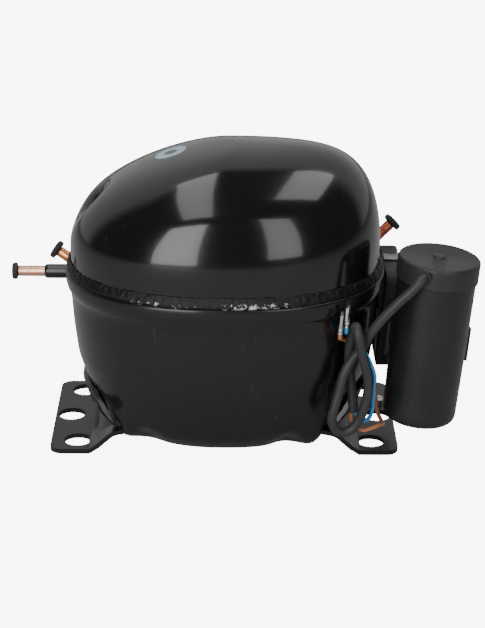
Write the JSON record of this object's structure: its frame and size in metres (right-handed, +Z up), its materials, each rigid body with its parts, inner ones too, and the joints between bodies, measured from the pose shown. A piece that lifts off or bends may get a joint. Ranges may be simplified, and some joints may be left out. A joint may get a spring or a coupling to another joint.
{
  "type": "hermetic reciprocating compressor",
  "caption": "Welded black refrigeration compressor on two feet, with a crank-driven piston inside, capped copper tubes, a terminal box, a run capacitor and its tied cable.",
  "frame": {"origin": "centre of the four foot bolt holes, on the underside of the feet", "axes": "+X towards the terminal box and capacitor, +Z up along the crankshaft, +Y towards the back"},
  "size_m": [0.2694, 0.15, 0.1717],
  "materials": {
    "black_paint": "gloss",
    "weld_bead": "rough, chipped silver paint",
    "foot_paint": "satin",
    "copper": "bare copper",
    "black_rubber": "matte",
    "bare_steel": "machined",
    "spring_steel": "drawn wire",
    "glass_bead": "fused",
    "black_plastic": "moulded",
    "can_plastic": "smooth moulded",
    "cap_plastic": "satin",
    "cable_pvc": "soft sheath",
    "blue_pvc": "wire insulation",
    "brown_pvc": "wire insulation",
    "tin_plate": "tin plated",
    "laminations": "stacked sheet",
    "enamel_wire": "enamelled wire",
    "cast_iron": "as cast and machined",
    "gasket_paper": "fibre",
    "natural_plastic": "moulded",
    "aluminium": "cast"
  },
  "bodies": {
    "housing": {"lower_shell": "black_paint", "upper_shell": "black_paint", "seam_weld": "weld_bead", "left_foot": "foot_paint", "right_foot": "foot_paint", "left_saddle": "foot_paint", "right_saddle": "foot_paint", "tube_sleeves": "foot_paint", "suction_tube": "copper", "suction_plug": "black_rubber", "process_tube": "copper", "process_plug": "black_rubber", "discharge_tube": "copper", "discharge_plug": "black_rubber", "terminal_plate": "bare_steel", "terminal_glass": "glass_bead", "terminal_pins": "tin_plate", "terminal_fence": "foot_paint", "start_relay": "black_plastic", "overload_protector": "black_plastic", "terminal_cover": "black_plastic", "cover_clip": "spring_steel", "earth_screw": "tin_plate", "capacitor_bracket": "foot_paint", "capacitor_can": "can_plastic", "capacitor_cap": "cap_plastic", "cable_grommet": "black_rubber", "capacitor_cable": "cable_pvc", "blue_wire": "blue_pvc", "brown_wire": "brown_pvc", "wire_terminals": "tin_plate", "lower_spring_seats": "bare_steel", "suspension_springs": "spring_steel", "discharge_line": "copper"},
    "pump_unit": {"upper_spring_seats": "bare_steel", "stator_core": "laminations", "lower_windings": "enamel_wire", "upper_windings": "enamel_wire", "stator_bolts": "bare_steel", "cylinder_block": "cast_iron", "front_gasket": "gasket_paper", "valve_plate": "bare_steel", "rear_gasket": "gasket_paper", "cylinder_head": "cast_iron", "head_bolts": "bare_steel", "discharge_valve_stop": "bare_steel", "suction_muffler": "natural_plastic", "discharge_muffler": "bare_steel"},
    "crank": {"crankshaft": "cast_iron", "counterweight": "bare_steel", "rotor_core": "laminations", "rotor_end_rings": "aluminium", "oil_pickup": "bare_steel"},
    "slide_block": {"slide_block": "bare_steel"},
    "thrust_ring": {"thrust_ring": "bare_steel"},
    "piston": {"piston": "bare_steel", "yoke_tube": "bare_steel"},
    "suction_reed": {"suction_reed": "spring_steel"},
    "discharge_reed": {"discharge_reed": "spring_steel"}
  },
  "joints": [
    {"name": "pump_float", "type": "slide", "parent": "housing", "child": "pump_unit", "axis": [0, 0, 1], "range_m": [-0.0015, 0.0015], "stiffness_N_per_m": 16000, "springref_m": 0.0026, "deforming": ["suspension_springs", "discharge_line"]},
    {"name": "crank_spin", "type": "hinge", "parent": "pump_unit", "child": "crank", "pos_m": [0, 0, 0.1], "axis": [0, 0, 1], "continuous": true},
    {"name": "slide_block_turn", "type": "hinge", "parent": "crank", "child": "slide_block", "pos_m": [0.00601, 0.00601, 0.136], "axis": [0, 0, 1], "continuous": true},
    {"name": "thrust_ring_turn", "type": "hinge", "parent": "crank", "child": "thrust_ring", "pos_m": [0.00301, 0.00301, 0.12], "axis": [0, 0, 1], "continuous": true},
    {"name": "piston_stroke", "type": "hinge", "parent": "thrust_ring", "child": "piston", "pos_m": [0.00601, 0, 0.136], "axis": [0, 0, 1], "continuous": true},
    {"name": "suction_valve", "type": "hinge", "parent": "pump_unit", "child": "suction_reed", "pos_m": [0.04925, 0.0048, 0.127], "axis": [0, -1, 0], "range_deg": [0, 4], "stiffness_Nm_per_rad": 0.02},
    {"name": "discharge_valve", "type": "hinge", "parent": "pump_unit", "child": "discharge_reed", "pos_m": [0.05275, -0.005, 0.127], "axis": [0, 1, 0], "range_deg": [0, 4], "stiffness_Nm_per_rad": 0.02}
  ],
  "couplings": [
    {"joint": "slide_block_turn", "follows": "crank_spin", "ratio": -1},
    {"joint": "thrust_ring_turn", "follows": "crank_spin", "ratio": -2},
    {"joint": "piston_stroke", "follows": "crank_spin", "ratio": 1}
  ]
}
